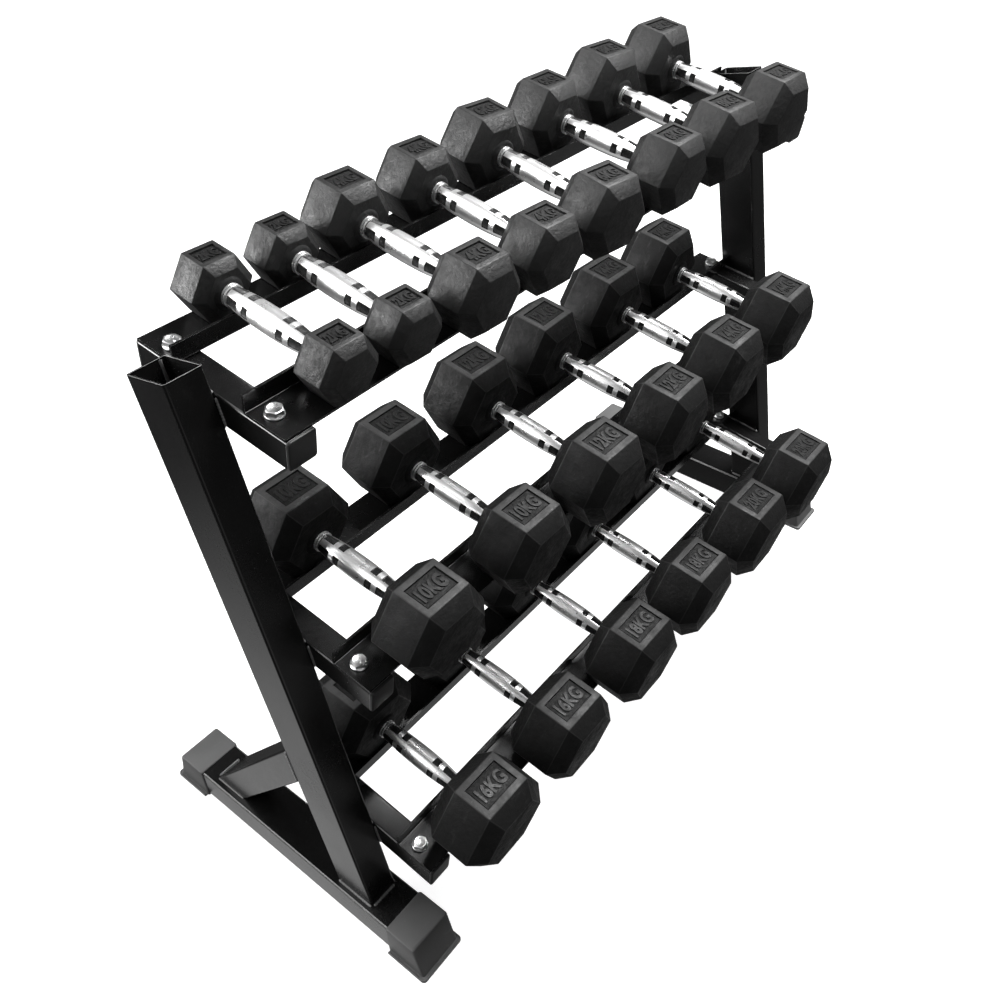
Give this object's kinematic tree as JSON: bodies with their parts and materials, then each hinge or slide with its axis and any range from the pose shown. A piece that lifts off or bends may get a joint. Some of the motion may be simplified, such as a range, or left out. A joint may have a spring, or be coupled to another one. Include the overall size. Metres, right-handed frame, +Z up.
{
  "type": "dumbbell rack",
  "caption": "Three-tier dumbbell rack with tilted angle-rail shelves on leaning side frames, loaded with hexagonal rubber-coated dumbbells that lift off.",
  "frame": {"origin": "on the floor, under the middle of the loaded rack's bounding box", "axes": "+X along the shelves, +Y from the front (user's side) to the rear, +Z up"},
  "size_m": [1.2338, 0.589, 0.9416],
  "materials": {
    "black_powder_coat": "satin",
    "cap_plastic": "matte",
    "bright_zinc": "satin",
    "rubber_coated_iron": "matte"
  },
  "bodies": {
    "rack": {"base_tube_left": "black_powder_coat", "upright_left": "black_powder_coat", "brace_left": "black_powder_coat", "foot_cap_front_left": "cap_plastic", "foot_cap_rear_left": "cap_plastic", "base_tube_right": "black_powder_coat", "upright_right": "black_powder_coat", "brace_right": "black_powder_coat", "foot_cap_front_right": "cap_plastic", "foot_cap_rear_right": "cap_plastic", "shelf_arm_bottom_left": "black_powder_coat", "arm_plug_bottom_left": "cap_plastic", "bolt_bottom_front_left": "bright_zinc", "bolt_bottom_rear_left": "bright_zinc", "shelf_arm_bottom_right": "black_powder_coat", "arm_plug_bottom_right": "cap_plastic", "bolt_bottom_front_right": "bright_zinc", "bolt_bottom_rear_right": "bright_zinc", "rail_bottom_front": "black_powder_coat", "rail_bottom_rear": "black_powder_coat", "shelf_arm_middle_left": "black_powder_coat", "arm_plug_middle_left": "cap_plastic", "bolt_middle_front_left": "bright_zinc", "bolt_middle_rear_left": "bright_zinc", "shelf_arm_middle_right": "black_powder_coat", "arm_plug_middle_right": "cap_plastic", "bolt_middle_front_right": "bright_zinc", "bolt_middle_rear_right": "bright_zinc", "rail_middle_front": "black_powder_coat", "rail_middle_rear": "black_powder_coat", "shelf_arm_top_left": "black_powder_coat", "arm_plug_top_left": "cap_plastic", "bolt_top_front_left": "bright_zinc", "bolt_top_rear_left": "bright_zinc", "shelf_arm_top_right": "black_powder_coat", "arm_plug_top_right": "cap_plastic", "bolt_top_front_right": "bright_zinc", "bolt_top_rear_right": "bright_zinc", "rail_top_front": "black_powder_coat", "rail_top_rear": "black_powder_coat"},
    "dumbbell_16kg_a": {"dumbbell_16kg_a": "rubber_coated_iron"},
    "dumbbell_16kg_b": {"dumbbell_16kg_b": "rubber_coated_iron"},
    "dumbbell_18kg_a": {"dumbbell_18kg_a": "rubber_coated_iron"},
    "dumbbell_18kg_b": {"dumbbell_18kg_b": "rubber_coated_iron"},
    "dumbbell_20kg_a": {"dumbbell_20kg_a": "rubber_coated_iron"},
    "dumbbell_20kg_b": {"dumbbell_20kg_b": "rubber_coated_iron"},
    "dumbbell_10kg_a": {"dumbbell_10kg_a": "rubber_coated_iron"},
    "dumbbell_10kg_b": {"dumbbell_10kg_b": "rubber_coated_iron"},
    "dumbbell_12kg_a": {"dumbbell_12kg_a": "rubber_coated_iron"},
    "dumbbell_12kg_b": {"dumbbell_12kg_b": "rubber_coated_iron"},
    "dumbbell_14kg_a": {"dumbbell_14kg_a": "rubber_coated_iron"},
    "dumbbell_14kg_b": {"dumbbell_14kg_b": "rubber_coated_iron"},
    "dumbbell_2kg_a": {"dumbbell_2kg_a": "rubber_coated_iron"},
    "dumbbell_2kg_b": {"dumbbell_2kg_b": "rubber_coated_iron"},
    "dumbbell_4kg_a": {"dumbbell_4kg_a": "rubber_coated_iron"},
    "dumbbell_4kg_b": {"dumbbell_4kg_b": "rubber_coated_iron"},
    "dumbbell_6kg_a": {"dumbbell_6kg_a": "rubber_coated_iron"},
    "dumbbell_6kg_b": {"dumbbell_6kg_b": "rubber_coated_iron"},
    "dumbbell_8kg_a": {"dumbbell_8kg_a": "rubber_coated_iron"},
    "dumbbell_8kg_b": {"dumbbell_8kg_b": "rubber_coated_iron"}
  },
  "joints": [
    {"name": "lift_16kg_a", "type": "slide", "parent": "rack", "child": "dumbbell_16kg_a", "axis": [0, 0, 1], "range_m": [0, 0.1]},
    {"name": "lift_16kg_b", "type": "slide", "parent": "rack", "child": "dumbbell_16kg_b", "axis": [0, 0, 1], "range_m": [0, 0.1]},
    {"name": "lift_18kg_a", "type": "slide", "parent": "rack", "child": "dumbbell_18kg_a", "axis": [0, 0, 1], "range_m": [0, 0.1]},
    {"name": "lift_18kg_b", "type": "slide", "parent": "rack", "child": "dumbbell_18kg_b", "axis": [0, 0, 1], "range_m": [0, 0.1]},
    {"name": "lift_20kg_a", "type": "slide", "parent": "rack", "child": "dumbbell_20kg_a", "axis": [0, 0, 1], "range_m": [0, 0.1]},
    {"name": "lift_20kg_b", "type": "slide", "parent": "rack", "child": "dumbbell_20kg_b", "axis": [0, 0, 1], "range_m": [0, 0.1]},
    {"name": "lift_10kg_a", "type": "slide", "parent": "rack", "child": "dumbbell_10kg_a", "axis": [0, 0, 1], "range_m": [0, 0.1]},
    {"name": "lift_10kg_b", "type": "slide", "parent": "rack", "child": "dumbbell_10kg_b", "axis": [0, 0, 1], "range_m": [0, 0.1]},
    {"name": "lift_12kg_a", "type": "slide", "parent": "rack", "child": "dumbbell_12kg_a", "axis": [0, 0, 1], "range_m": [0, 0.1]},
    {"name": "lift_12kg_b", "type": "slide", "parent": "rack", "child": "dumbbell_12kg_b", "axis": [0, 0, 1], "range_m": [0, 0.1]},
    {"name": "lift_14kg_a", "type": "slide", "parent": "rack", "child": "dumbbell_14kg_a", "axis": [0, 0, 1], "range_m": [0, 0.1]},
    {"name": "lift_14kg_b", "type": "slide", "parent": "rack", "child": "dumbbell_14kg_b", "axis": [0, 0, 1], "range_m": [0, 0.1]},
    {"name": "lift_2kg_a", "type": "slide", "parent": "rack", "child": "dumbbell_2kg_a", "axis": [0, 0, 1], "range_m": [0, 0.1]},
    {"name": "lift_2kg_b", "type": "slide", "parent": "rack", "child": "dumbbell_2kg_b", "axis": [0, 0, 1], "range_m": [0, 0.1]},
    {"name": "lift_4kg_a", "type": "slide", "parent": "rack", "child": "dumbbell_4kg_a", "axis": [0, 0, 1], "range_m": [0, 0.1]},
    {"name": "lift_4kg_b", "type": "slide", "parent": "rack", "child": "dumbbell_4kg_b", "axis": [0, 0, 1], "range_m": [0, 0.1]},
    {"name": "lift_6kg_a", "type": "slide", "parent": "rack", "child": "dumbbell_6kg_a", "axis": [0, 0, 1], "range_m": [0, 0.1]},
    {"name": "lift_6kg_b", "type": "slide", "parent": "rack", "child": "dumbbell_6kg_b", "axis": [0, 0, 1], "range_m": [0, 0.1]},
    {"name": "lift_8kg_a", "type": "slide", "parent": "rack", "child": "dumbbell_8kg_a", "axis": [0, 0, 1], "range_m": [0, 0.1]},
    {"name": "lift_8kg_b", "type": "slide", "parent": "rack", "child": "dumbbell_8kg_b", "axis": [0, 0, 1], "range_m": [0, 0.1]}
  ]
}
